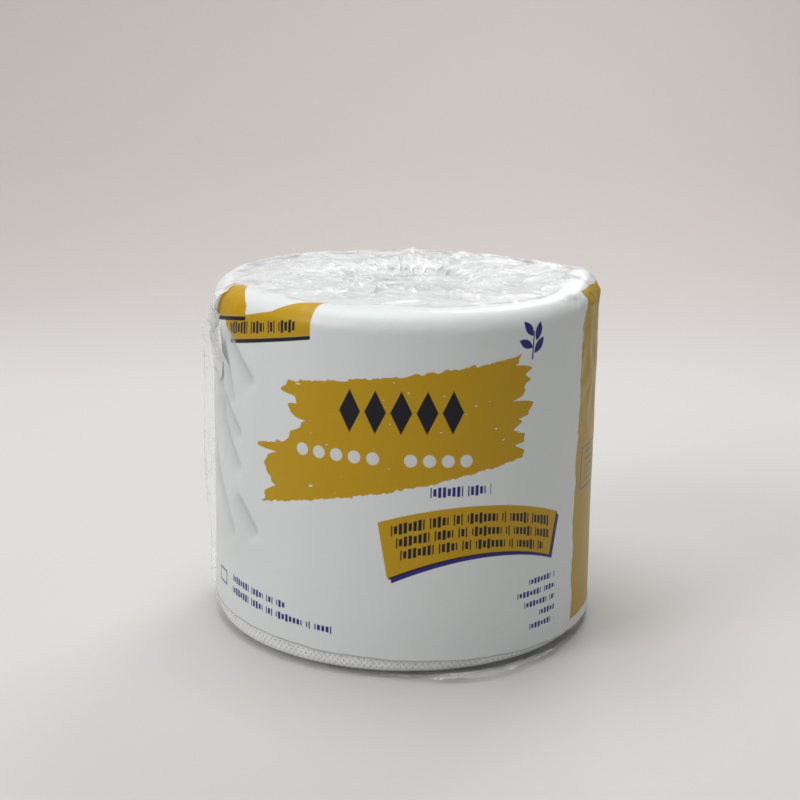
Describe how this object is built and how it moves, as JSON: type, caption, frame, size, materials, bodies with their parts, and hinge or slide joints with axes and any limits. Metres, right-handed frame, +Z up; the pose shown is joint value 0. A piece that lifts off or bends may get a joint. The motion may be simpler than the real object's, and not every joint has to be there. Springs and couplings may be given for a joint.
{
  "type": "toilet paper roll",
  "caption": "Toilet paper roll on a card core, wrapped in clear film with a printed white band, both ends pleated and tucked into the core.",
  "frame": {"origin": "on the roll's axis, at the level of the surface that the pack stands on", "axes": "+Z up along the roll's axis; the printed front faces -Y; the film's long seal is at the left side, -X"},
  "size_m": [0.1164, 0.1163, 0.1043],
  "materials": {
    "core_card": "unbleached wound card, matt",
    "tissue": "soft white tissue, finely embossed",
    "wrapping_film": "thin clear film, printed opaque white round the side, satin gloss"
  },
  "bodies": {
    "root": {"core_tube": "core_card", "tissue_roll": "tissue", "film_wrap": "wrapping_film"}
  },
  "joints": []
}
